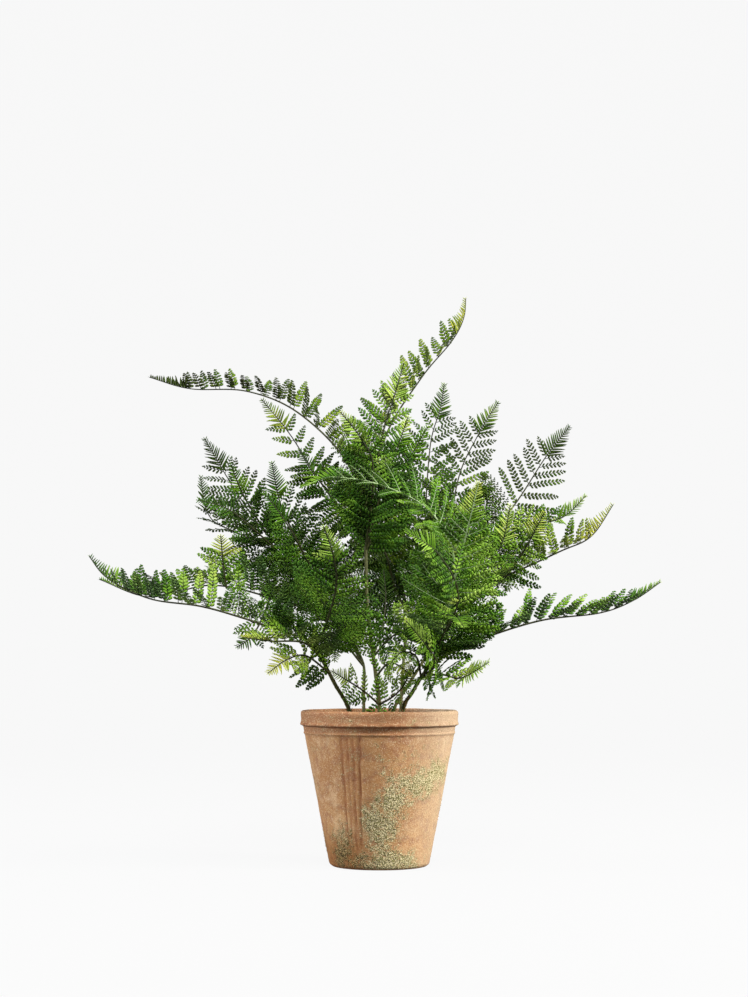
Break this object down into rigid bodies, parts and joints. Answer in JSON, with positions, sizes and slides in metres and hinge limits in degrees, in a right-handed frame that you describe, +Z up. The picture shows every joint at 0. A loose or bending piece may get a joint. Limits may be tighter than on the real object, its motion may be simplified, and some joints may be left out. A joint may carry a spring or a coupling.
{
  "type": "potted fern",
  "caption": "Bushy fern in a tapered terracotta pot: forked stems rise from soil and carry arching, finely divided fronds on every side.",
  "frame": {"origin": "centre of the pot's flat underside", "axes": "+Z up, -Y to the front of the picture, +X to its right"},
  "size_m": [0.5394, 0.4201, 0.5531],
  "materials": {
    "terracotta": "unglazed, weathered, with lime and moss",
    "soil": "crumbly, matt",
    "frond": "satin leaf"
  },
  "bodies": {
    "root": {"pot": "terracotta", "soil": "soil", "fern_stem_left_front": "frond", "fern_stem_left_back": "frond", "fern_stem_middle": "frond", "fern_stem_right_back": "frond", "fern_stem_middle_back": "frond", "fern_stem_right_front": "frond"}
  },
  "joints": []
}
